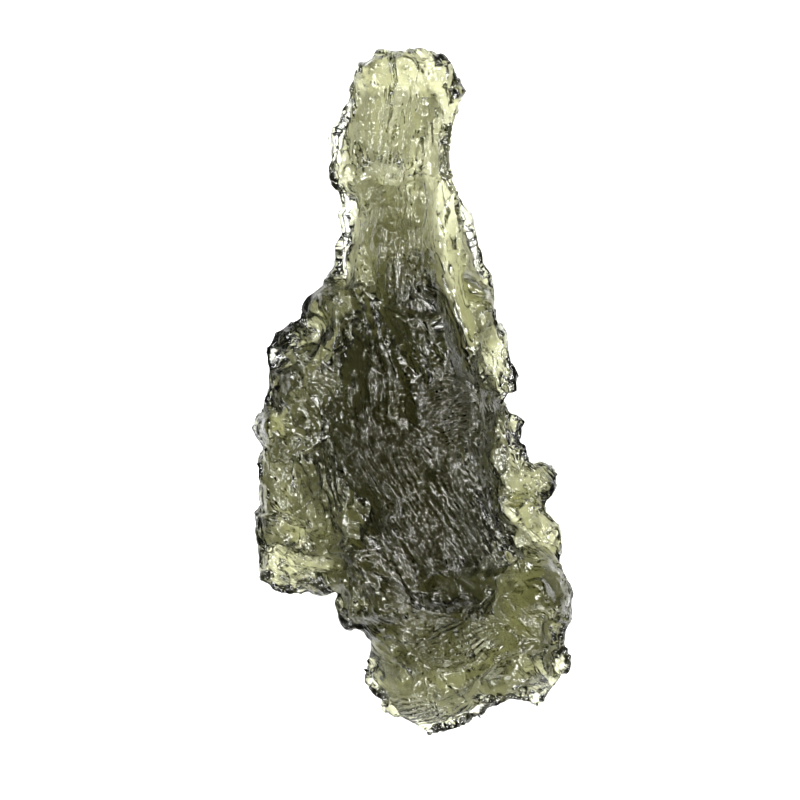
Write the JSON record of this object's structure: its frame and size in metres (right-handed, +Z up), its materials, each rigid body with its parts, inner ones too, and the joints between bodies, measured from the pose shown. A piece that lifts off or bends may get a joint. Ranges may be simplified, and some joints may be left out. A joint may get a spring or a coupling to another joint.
{
  "type": "moldavite tektite",
  "caption": "Flattened splash drop of olive-green natural glass with a narrow neck, an etched, pitted skin and a spiny rim; a loose specimen or gemstone rough that lies on its back.",
  "frame": {"origin": "middle of the stone's footprint box, on the surface that it lies on", "axes": "+Y along the stone from the broken foot to the neck, +X across it to the right as the picture shows it, +Z up out of its front"},
  "size_m": [0.019, 0.041, 0.0078],
  "materials": {
    "tektite_glass": "naturally etched, glossy"
  },
  "bodies": {
    "root": {"stone": "tektite_glass"}
  },
  "joints": []
}
